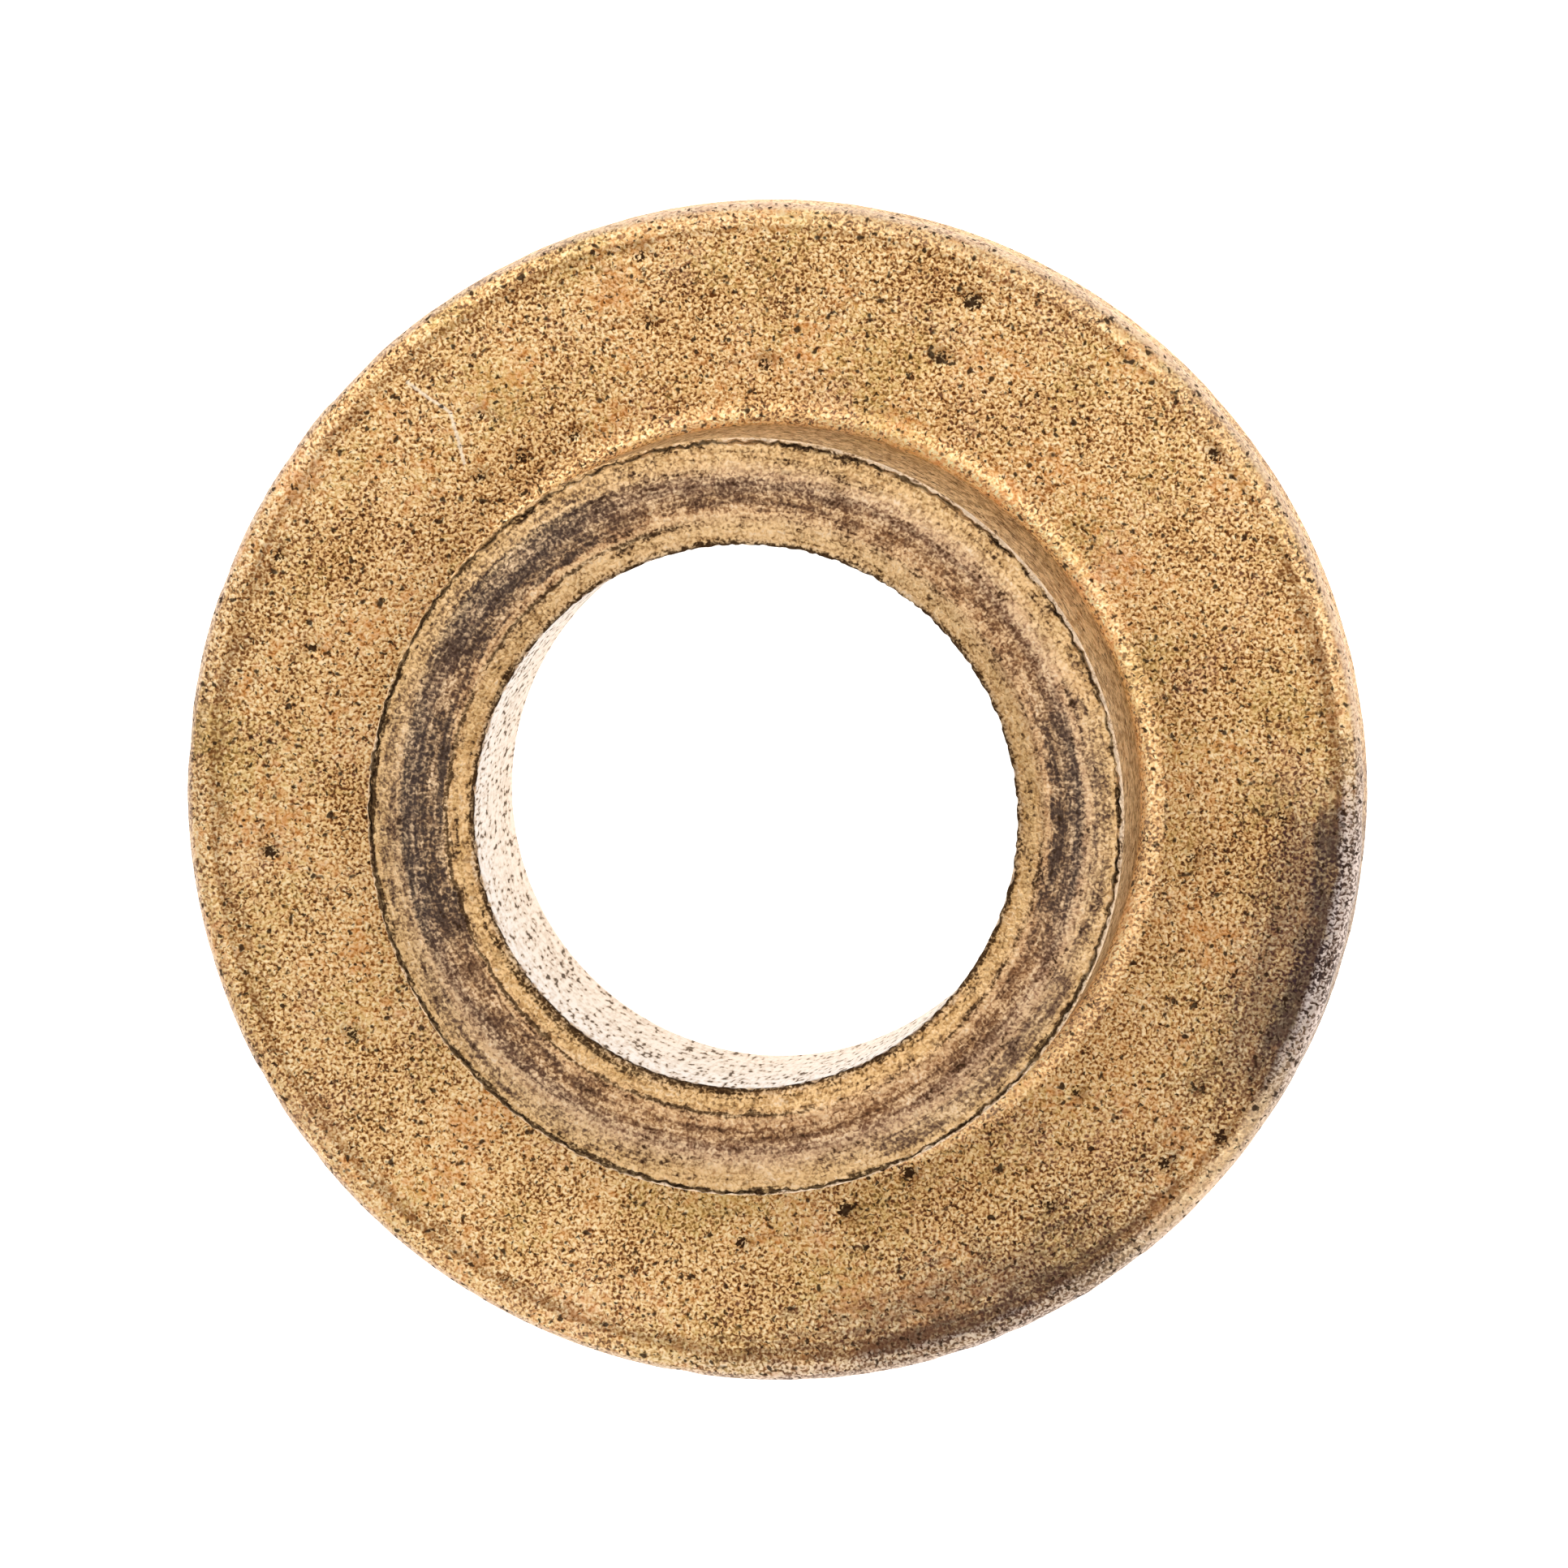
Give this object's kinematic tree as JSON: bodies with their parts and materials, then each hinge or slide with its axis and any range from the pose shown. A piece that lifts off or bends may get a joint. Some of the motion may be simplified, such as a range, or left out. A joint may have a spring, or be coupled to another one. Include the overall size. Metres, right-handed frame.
{
  "type": "flanged bushing",
  "caption": "Flanged sleeve bushing of porous sintered bronze: a short plain-bearing sleeve with a thin round flange, pressed as one piece.",
  "frame": {"origin": "centre of the flange's back face, on the axis of the bore, on the surface that the bushing stands on", "axes": "+Z along the bore, from the flange's back face towards the sleeve end; the part is round about Z, so X and Y are free"},
  "size_m": [0.022, 0.022, 0.0065],
  "materials": {
    "sintered_bronze": "matt, porous and oil-stained, with sized bevels and rim rubbed brighter"
  },
  "bodies": {
    "root": {"bushing": "sintered_bronze"}
  },
  "joints": []
}
